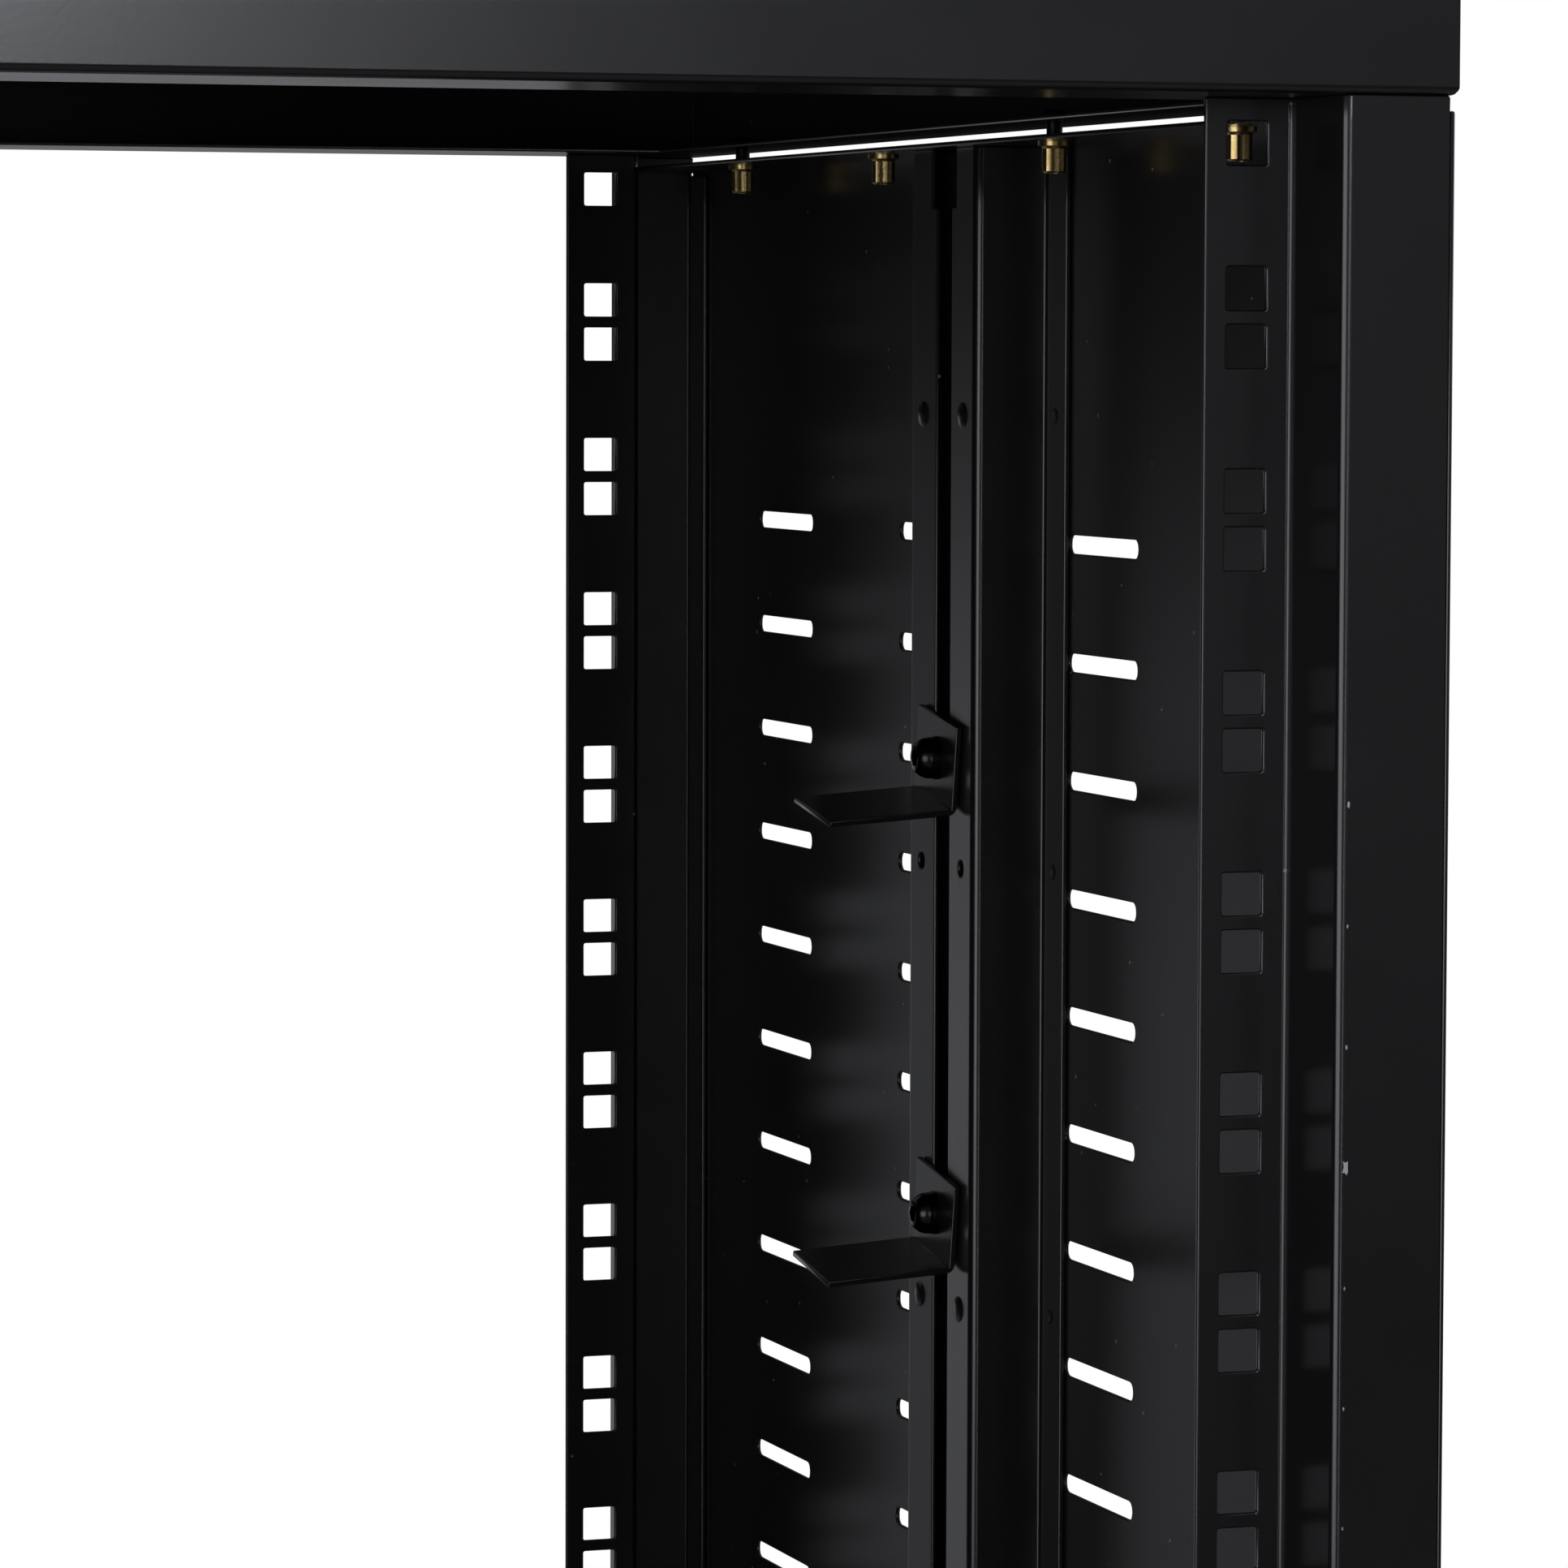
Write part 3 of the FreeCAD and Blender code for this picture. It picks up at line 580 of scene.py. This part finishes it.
def makeChips():  # coat lost in flakes down the bend of the right front post, steel showing
    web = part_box("right_front_rail")[1].x + 2 * cornerSheet["bendInside"] * mm
    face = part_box("right_front_post")[0].y
    flakes = bmesh.new()
    for index, size in enumerate(chips["sizes"]):
        z = bayTop() - (chips["first"] + index * chips["pitch"]) * mm
        flake = bmesh.new()
        bmesh.ops.create_circle(flake, cap_ends=True, segments=chips["sides"], radius=size * mm)
        for corner, vert in enumerate(flake.verts):
            turn = corner * chips["raggedTurns"][0] + index * chips["raggedTurns"][1]
            vert.co *= 1 + chips["ragged"] * math.sin(turn)
            vert.co.x *= chips["slim"]
        grown = bmesh.ops.extrude_face_region(flake, geom=flake.faces[:])["geom"]
        bmesh.ops.translate(flake, verts=grownVerts(grown), vec=(0, 0, 2 * chips["thick"] * mm))
        bmesh.ops.recalc_face_normals(flake, faces=flake.faces)
        spot = at(web + chips["fromBend"] * mm, face + chips["thick"] * mm, z)
        addShape(flakes, flake, spot @ towards["front"])
    finishPiece(flakes, "right_front_post_chips", bareSteel)


makeCornerSheets()
makeStrutBars()
makeWallSheets()
makeChips()
for side in ("right", "left"):
    for place in ("top", "bottom"):
        easedCopy(f"{side}_{place}_wall_flange", f"{side}_{place}_flange")
    for place in ("upper", "lower"):
        easedCopy(f"{side}_{place}_shelf_bracket", f"{side}_{place}_bracket")
easedCopy("cap_sheet", "top_cap")
easedCopy("base_sheet", "base_tray")
print("sheets made")


rivetNut = {
    "fromWall": 13.4,             # mm from the wall's inner face
    "along": (-178.5, -62, 62, 178.5),
    "boltsAt": (-178.5, -62, 178.5),   # one bolt is missing
    # radius and height in mm: a collar, then a barrel
    "profile": ((1.7, 0), (4.1, 0), (4.1, 1.0), (3.3, 1.2), (3.05, 1.7), (3.05, 7.2), (2.65, 7.7), (1.7, 7.7),
                (1.7, 0)),
    "ribs": 12,                   # knurled barrel
    "groove": 0.92,
    "grooveAbove": 1.2,           # mm, over the collar
    "grooveOutside": 2.2,         # mm, not in the bore
    "boltRadius": 2.0,
    "capSheet": 1.2,
    "boltHead": (3.8, 2.2, 1.45, 1.2),   # radius, height, hexagon's radius and socket's depth in mm
}


def makeRivetNuts():  # in the walls' flanges, with the bolts that hold the cap and the base
    barrel = turned(rivetNut["profile"], rivetNut["ribs"] * 2)
    for vert in barrel.verts:
        turn = math.atan2(vert.co.y, vert.co.x) / (math.pi / rivetNut["ribs"])
        outside = vert.co.xy.length > rivetNut["grooveOutside"] * mm
        if round(turn) % 2 and outside and vert.co.z > rivetNut["grooveAbove"] * mm + tiny:
            vert.co.xy *= rivetNut["groove"]
    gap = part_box("top_cap")[0].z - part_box("right_top_flange")[1].z
    reach = gap + rivetNut["capSheet"] * mm
    shank = prism(12, rivetNut["boltRadius"], reach / mm)
    head = socketHead(*rivetNut["boltHead"])
    for side, sign in (("right", 1), ("left", -1)):
        inner = abs(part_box(f"{side}_side_wall")[0 if sign > 0 else 1].x)
        x = sign * (inner - rivetNut["fromWall"] * mm)
        for level, nutWay, boltWay in (("top", "down", "up"), ("bottom", "up", "down")):
            low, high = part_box(f"{side}_{level}_flange")
            nutSeat, boltSeat = (low.z, high.z) if level == "top" else (high.z, low.z)
            nuts = bmesh.new()
            bolts = bmesh.new()
            for y in rivetNut["along"]:
                addShape(nuts, barrel, at(x, y * mm, nutSeat) @ towards[nutWay])
                if y in rivetNut["boltsAt"]:
                    bolt = at(x, y * mm, boltSeat) @ towards[boltWay]
                    addShape(bolts, shank, bolt)
                    addShape(bolts, head, bolt @ at(0, 0, reach))
            finishPiece(nuts, f"{side}_{level}_rivet_nuts", yellowZinc)
            finishPiece(bolts, f"{side}_{level}_cap_bolts", blackOxide)


makeRivetNuts()
print("rivet nuts and cap bolts made")


bracketScrew = {
    "below": {"upper": 156.0, "lower": 273.1},   # mm under the bay's top
    "head": (5.3, 4.7, 2.3, 2.6),   # radius, height, hexagon's radius and socket's depth in mm
    "washer": ((2.6, 0), (5.6, 0), (5.6, 0.9), (2.6, 0.9), (2.6, 0)),
    "washerSheet": 0.9,
    "sheet": 1.5,                   # mm, the bracket's tab and the strut's lips
    "nutSide": 15,
    "nutHeight": 4,
    "nutEdge": 0.6,
    "shankRadius": 2.5,
    "shankLength": 9,
}


def makeBracketScrews():  # a button head and washer on each bracket's tab, and a square nut behind the lips
    head = socketHead(*bracketScrew["head"])
    washer = turned(bracketScrew["washer"], 24)
    nut = prism(4, bracketScrew["nutSide"] / math.sqrt(2), bracketScrew["nutHeight"], bracketScrew["nutEdge"])
    shank = prism(12, bracketScrew["shankRadius"], bracketScrew["shankLength"])
    sheet = bracketScrew["sheet"] * mm
    square = Matrix.Rotation(math.pi / 4, 4, "Z")
    for side, sign, inwards, outwards in (("right", 1, "left", "right"), ("left", -1, "right", "left")):
        strutLow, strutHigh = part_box(f"{side}_front_strut")
        lip = strutLow.x if sign > 0 else strutHigh.x
        for level, below in bracketScrew["below"].items():
            tab = at(lip - sign * sheet, 0, bayTop() - below * mm)
            behind = at(lip + sign * sheet, 0, bayTop() - below * mm)
            screw = bmesh.new()
            addShape(screw, washer, tab @ towards[inwards])
            addShape(screw, head, tab @ towards[inwards] @ at(0, 0, bracketScrew["washerSheet"] * mm))
            addShape(screw, shank, tab @ towards[outwards])
            addShape(screw, nut, behind @ towards[outwards] @ square)
            finishPiece(screw, f"{side}_{level}_bracket_screw", blackZinc, 50)


makeBracketScrews()
print("bracket screws made")


wheel = {
    "trail": 28,             # mm, from the swivel back to the axle
    "radius": 37.5,
    # radius and distance from the middle in mm, from the inside out
    "tyre": ((30.5, 12), (33.5, 12), (35.9, 11), (37.15, 8.6), (37.5, 5)),
    "hub": ((4.05, 13), (9, 13), (9.6, 12.4), (10.5, 5.5), (12.5, 4.5), (24, 4.5), (26.5, 5.7), (27.4, 11.2),
            (28.2, 11.8), (30.5, 11.8)),
    "ribs": 8,
    "rib": (15, 2.2, 20.8),
    "ribAt": 18.4,
    "ribEdge": 0.5,
}


def bothSides(half):  # a closed profile from one half of it
    first = [(r, -z) for r, z in half]
    return first + list(reversed(half)) + first[:1]


def sizedBox(size, matrix=Matrix.Identity(4)):  # a box of a size in mm
    bm = bmesh.new()
    bmesh.ops.create_cube(bm, size=1.0, matrix=matrix @ Matrix.Diagonal((*(s * mm for s in size), 1)))
    return bm


def makeWheel(corner, axle):  # a rubber tyre on a nylon hub with ribs
    tyre = bmesh.new()
    addShape(tyre, turned(bothSides(wheel["tyre"]), 64), axle)
    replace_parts(finishPiece(tyre, f"{corner}_tyre", blackRubber), f"{corner}_caster_tyre")
    hub = bmesh.new()
    addShape(hub, turned(bothSides(wheel["hub"]), 64), axle)
    rib = sizedBox(wheel["rib"])
    roundEdges(rib, rib.edges[:], wheel["ribEdge"], 2)
    for step in range(wheel["ribs"]):
        turn = Matrix.Rotation(step * 2 * math.pi / wheel["ribs"], 4, "Z")
        addShape(hub, rib, axle @ turn @ at(wheel["ribAt"] * mm, 0, 0))
    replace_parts(finishPiece(hub, f"{corner}_hub", greyNylon), f"{corner}_caster_hub")


fork = {
    "gap": 14,               # mm, from the middle to a cheek
    "sheet": 3,
    "roof": 83.5,            # mm over the ground
    "front": ((-20, 83.5), (-20, 75.5)),   # a cheek's outline, back from the swivel and up from the ground
    "back": ((40, 46), (40, 83.5)),
    "boss": 11.6,            # mm, radius round the axle
    "bossArc": range(200, 361, 16),        # degrees
    "roofLength": 60,
    "roofAt": 10,
    "edge": 0.5,
    "edgeTurn": 0.8,         # radians, a sharper edge is eased
}


def makeFork(corner, swivel):  # two pressed cheeks and a roof
    arc = [math.radians(turn) for turn in fork["bossArc"]]
    boss = [(wheel["trail"] + fork["boss"] * math.cos(turn), wheel["radius"] + fork["boss"] * math.sin(turn))
            for turn in arc]
    cheek = bmesh.new()
    outline = [cheek.verts.new((0, u * mm, v * mm)) for u, v in (*fork["front"], *boss, *fork["back"])]
    grown = bmesh.ops.extrude_face_region(cheek, geom=[cheek.faces.new(outline)])["geom"]
    bmesh.ops.translate(cheek, verts=grownVerts(grown), vec=(fork["sheet"] * mm, 0, 0))
    bmesh.ops.recalc_face_normals(cheek, faces=cheek.faces)
    rim = [e for e in cheek.edges
           if e.calc_face_angle(0) > fork["edgeTurn"] and abs(e.verts[0].co.x - e.verts[1].co.x) < tiny]
    roundEdges(cheek, rim, fork["edge"], 2)
    bm = bmesh.new()
    addShape(bm, cheek, swivel @ at(fork["gap"] * mm, 0, 0))
    addShape(bm, cheek, swivel @ at(-(fork["gap"] + fork["sheet"]) * mm, 0, 0))
    roofAt = swivel @ at(0, fork["roofAt"] * mm, (fork["roof"] - fork["sheet"] / 2) * mm)
    addShape(bm, sizedBox((2 * fork["gap"], fork["roofLength"], fork["sheet"]), roofAt))
    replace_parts(finishPiece(bm, f"{corner}_fork", clearZinc), f"{corner}_caster_fork")


swivelPlate = {
    "size": (64, 64, 2.5),
    "top": 95,               # mm over the ground
    "corner": 7,
    "edge": 0.4,
    # radius and height over the fork's roof in mm
    "race": ((0, 0), (18, 0), (20.5, 0.8), (22.8, 3), (23, 4.6), (22.2, 5.4), (21, 5.8), (21, 6.4), (22.6, 7),
             (22.6, 9), (0, 9)),
}


def makePlate(corner, swivel):  # a top plate with rounded corners over a ball race
    size = swivelPlate["size"]
    slab = sizedBox(size, swivel @ at(0, 0, (swivelPlate["top"] - size[2] / 2) * mm))
    upright = [e for e in slab.edges if abs(e.verts[0].co.z - e.verts[1].co.z) > 1 * mm]
    roundEdges(slab, upright, swivelPlate["corner"], 6)
    rim = [e for e in slab.edges if abs(e.verts[0].co.z - e.verts[1].co.z) < tiny]
    roundEdges(slab, rim, swivelPlate["edge"], 2)
    plate = bmesh.new()
    addShape(plate, slab)
    addShape(plate, turned(swivelPlate["race"], 48), swivel @ at(0, 0, fork["roof"] * mm))
    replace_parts(finishPiece(plate, f"{corner}_swivel_plate", clearZinc), f"{corner}_caster_plate")


casterBolts = {
    # sides, radius, length and edge in mm
    "axle": (24, 3.9, 34),
    "axleNut": (6, 7.2, 3.9, 0.5),
    "head": (6, 5.6, 4, 0.5),
    "nut": (6, 5.6, 5, 0.5),
    "thread": (16, 3, 8, 0.4),
    "spread": 23,            # mm, from the swivel each way
    "under": 92.5,           # mm over the ground, the plate's underside
    "trayFloor": 96.2,
}


def makeCasterBolts(corner, swivel, spindle):  # the axle with its nuts, and four bolts up into the base
    axle = bmesh.new()
    side = (fork["gap"] + fork["sheet"]) * mm
    addShape(axle, prism(*casterBolts["axle"]),
             spindle @ towards["right"] @ at(0, 0, -casterBolts["axle"][2] / 2 * mm))
    addShape(axle, prism(*casterBolts["axleNut"]), spindle @ at(side, 0, 0) @ towards["right"])
    addShape(axle, prism(*casterBolts["axleNut"]), spindle @ at(-side, 0, 0) @ towards["left"])
    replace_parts(finishPiece(axle, f"{corner}_axle_bolt", clearZinc), f"{corner}_caster_axle")
    fixings = bmesh.new()
    spread = casterBolts["spread"] * mm
    for across in (-spread, spread):
        for along in (-spread, spread):
            under = swivel @ at(across, along, casterBolts["under"] * mm)
            over = swivel @ at(across, along, casterBolts["trayFloor"] * mm)
            addShape(fixings, prism(*casterBolts["head"]), under @ towards["down"])
            addShape(fixings, prism(*casterBolts["nut"]), over)
            addShape(fixings, prism(*casterBolts["thread"]), over)
    finishPiece(fixings, f"{corner}_caster_bolts", clearZinc)


for corner in ("right_front", "right_rear", "left_front", "left_rear"):
    plateLow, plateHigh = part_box(f"{corner}_caster_plate")
    swivel = at((plateLow.x + plateHigh.x) / 2, (plateLow.y + plateHigh.y) / 2, 0)
    spindle = swivel @ at(0, wheel["trail"] * mm, wheel["radius"] * mm)
    makeWheel(corner, spindle @ towards["right"])
    makeFork(corner, swivel)
    makePlate(corner, swivel)
    makeCasterBolts(corner, swivel, spindle)
print("casters made")


studio = {
    "floor": "#f4f4f2",
    "floorCloud": "#fafaf9",
    "floorPaintedDimInGloss": "#6a6a6a",   # painted reflection: the floor's colour turns this dim grey for glossy rays only, so that a floor seen in the coat's gloss is as dim as the rest of the studio
    "floorRadius": 2.1,          # m
    "floorFade": 1.1,            # m, where the floor starts to melt into the white
    "floorClouds": 1.5,          # per metre
    "floorRoughness": 0.8,
    "white": 1.0,                # what the camera sees of the world
    "fill": 0.6,                 # what matt surfaces get of it
    "tint": "#f7f9ff",           # the lamps and the gloss are a little cool
    # what gloss sees of it, by the sine of the height over the horizon: lit walls low down in a dim room
    "glowAhead": ((-0.5, 0.04), (-0.17, 0.07), (-0.1, 0.15), (0.03, 0.25), (0.25, 0.2), (0.7, 0.1),
                  (1.0, 0.05)),
    "glowBehind": ((-0.4, 0.06), (-0.17, 0.17), (-0.1, 0.2), (-0.055, 0.17), (-0.02, 0.05), (0.012, 0.006),
                   (0.15, 0.008), (0.3, 0.12), (0.5, 0.3), (0.75, 0.25), (1.0, 0.12)),
    # how the room behind falls off to the left and right, by the sight's X, up to where it is even
    "across": ((-1.0, 0.1), (-0.6, 0.2), (-0.45, 0.6), (-0.35, 0.8), (-0.3, 1.7), (-0.24, 3.4), (-0.1, 3.4),
               (0.1, 1.4), (0.285, 1.0), (0.315, 0.06), (0.42, 0.06), (0.65, 0.8), (1.0, 0.8)),
    "evenHeight": (0.1, 0.3),
    "meet": 0.4,                 # the sight's Y either way where ahead and behind run into each other
    "lamps": {
        # name: place, aim, width and height in m, watts
        "front": ((0.34, -2.7, 1.48), (0.1, 0, 0.9), 0.34, 1.0, 14),
        "left": ((-1.96, -1.43, 0.6), (0.24, -0.26, 0.6), 2.0, 1.2, 24),
        "strip": ((-0.2, -2.65, 0.55), (0.24, -0.26, 0.55), 0.1, 1.2, 3),
        "right": ((2.4, 0.3, 1.36), (0.27, 0.1, 0.7), 1.6, 0.9, 9),
        "backRight": ((0.7, 3.0, 0.6), (0, 0, 0.6), 0.8, 0.6, 0.22),
        "top": ((-0.5, -0.3, 2.7), (0, 0, 0.5), 1.8, 1.8, 28),
    },
}


def makeFloor():
    bm = bmesh.new()
    bmesh.ops.create_circle(bm, cap_ends=True, segments=96, radius=studio["floorRadius"])
    mesh = bpy.data.meshes.new("floor")
    bm.to_mesh(mesh)
    bm.free()
    material, tree, shader = newMaterial("pale_floor")
    place = put(tree, "ShaderNodeTexCoord").outputs["Object"]
    cloud = put(tree, "ShaderNodeTexNoise", {
        "Vector": place, "Scale": studio["floorClouds"], "Detail": 3.0})
    tone = put(tree, "ShaderNodeMix", {
        0: cloud.outputs["Fac"], 6: linear(studio["floor"]), 7: linear(studio["floorCloud"])},
        data_type="RGBA")
    # painted reflection: glossy rays see the floor in a dim grey, while the camera sees it pale
    gloss = put(tree, "ShaderNodeLightPath").outputs["Is Glossy Ray"]
    seen = put(tree, "ShaderNodeMix", {
        0: gloss, 6: tone.outputs[2], 7: linear(studio["floorPaintedDimInGloss"])}, data_type="RGBA")
    reach = put(tree, "ShaderNodeVectorMath", {0: place}, operation="LENGTH")
    solid = put(tree, "ShaderNodeMapRange", {
        "Value": reach.outputs["Value"], "From Min": studio["floorFade"], "From Max": studio["floorRadius"],
        "To Min": 1.0, "To Max": 0.0}, interpolation_type="SMOOTHSTEP")
    tree.links.new(seen.outputs[2], shader.inputs["Base Color"])
    tree.links.new(solid.outputs["Result"], shader.inputs["Alpha"])
    shader.inputs["Roughness"].default_value = studio["floorRoughness"]
    mesh.materials.append(material)
    floor = bpy.data.objects.new("floor", mesh)
    scene.collection.objects.link(floor)


def makeWorld():
    world = bpy.data.worlds.new("studio")
    world.use_nodes = True
    tree = world.node_tree
    tree.nodes.clear()
    sight = put(tree, "ShaderNodeSeparateXYZ", {0: put(tree, "ShaderNodeTexCoord").outputs["Generated"]})
    glows = []
    for axis, stops in (("Z", studio["glowAhead"]), ("Z", studio["glowBehind"]), ("X", studio["across"])):
        part = put(tree, "ShaderNodeMapRange", {"Value": sight.outputs[axis], "From Min": -1.0})
        ramp = put(tree, "ShaderNodeValToRGB", {"Fac": part.outputs["Result"]})
        for index, (rise, level) in enumerate(stops):
            elements = ramp.color_ramp.elements
            stop = elements[index] if index < 2 else elements.new(1.0)
            stop.position = (rise + 1) / 2
            stop.color = (level, level, level, 1)
        glows.append(ramp.outputs["Color"])
    low = put(tree, "ShaderNodeMapRange", {
        "Value": sight.outputs["Z"], "From Min": studio["evenHeight"][0], "From Max": studio["evenHeight"][1],
        "To Min": 1.0, "To Max": 0.0})
    backdrop = put(tree, "ShaderNodeMix", {
        0: low.outputs["Result"], 6: glows[1], 7: glows[2]}, data_type="RGBA", blend_type="MULTIPLY")
    behind = put(tree, "ShaderNodeMapRange", {
        "Value": sight.outputs["Y"], "From Min": -studio["meet"], "From Max": studio["meet"]},
        interpolation_type="SMOOTHSTEP")
    room = put(tree, "ShaderNodeMix", {
        0: behind.outputs["Result"], 6: glows[0], 7: backdrop.outputs[2]}, data_type="RGBA")
    glow = put(tree, "ShaderNodeMix", {
        0: 1.0, 6: room.outputs[2], 7: linear(studio["tint"])}, data_type="RGBA", blend_type="MULTIPLY")
    path = put(tree, "ShaderNodeLightPath")
    gloss = put(tree, "ShaderNodeMath", {
        0: path.outputs["Is Glossy Ray"], 1: path.outputs["Is Transmission Ray"]}, operation="MAXIMUM")
    fill = [studio["fill"]] * 3 + [1]
    white = [studio["white"]] * 3 + [1]
    around = put(tree, "ShaderNodeMix", {0: gloss.outputs[0], 6: fill, 7: glow.outputs[2]}, data_type="RGBA")
    shown = put(tree, "ShaderNodeMix", {
        0: path.outputs["Is Camera Ray"], 6: around.outputs[2], 7: white}, data_type="RGBA")
    sky = put(tree, "ShaderNodeBackground", {"Color": shown.outputs[2]})
    put(tree, "ShaderNodeOutputWorld", {"Surface": sky.outputs[0]})
    scene.world = world


def makeLamps():
    for name, (spot, aim, width, height, watts) in studio["lamps"].items():
        lamp = bpy.data.lights.new(f"{name}_softbox", "AREA")
        lamp.shape = "RECTANGLE"
        lamp.size = width
        lamp.size_y = height
        lamp.energy = watts
        lamp.color = linear(studio["tint"])[:3]
        holder = bpy.data.objects.new(f"{name}_softbox", lamp)
        away = Vector(aim) - Vector(spot)
        holder.matrix_world = Matrix.Translation(spot) @ away.to_track_quat("-Z", "Y").to_matrix().to_4x4()
        holder.visible_camera = False
        scene.collection.objects.link(holder)


makeFloor()
makeWorld()
makeLamps()
print("studio made")


photo = {
    "spot": (-0.3323, -1.57375, 0.8046),   # m, from the rail holes' places in the photograph
    "yaw": 18.93,                        # degrees to the right of straight ahead
    "pitch": 3.841,                      # degrees down
    "roll": 0.162,
    "lens": 150.9,
    "sensor": 36,
}


def makeCamera():
    data = bpy.data.cameras.new("photo_camera")
    data.sensor_width = photo["sensor"]
    data.lens = photo["lens"]
    data.clip_end = 100
    camera = bpy.data.objects.new("photo_camera", data)
    turn = (Matrix.Rotation(-math.radians(photo["yaw"]), 4, "Z")
            @ Matrix.Rotation(math.radians(90 - photo["pitch"]), 4, "X")
            @ Matrix.Rotation(math.radians(photo["roll"]), 4, "Z"))
    camera.matrix_world = Matrix.Translation(photo["spot"]) @ turn
    scene.collection.objects.link(camera)
    scene.camera = camera


makeCamera()
scene.view_settings.view_transform = "Standard"
print("camera placed")
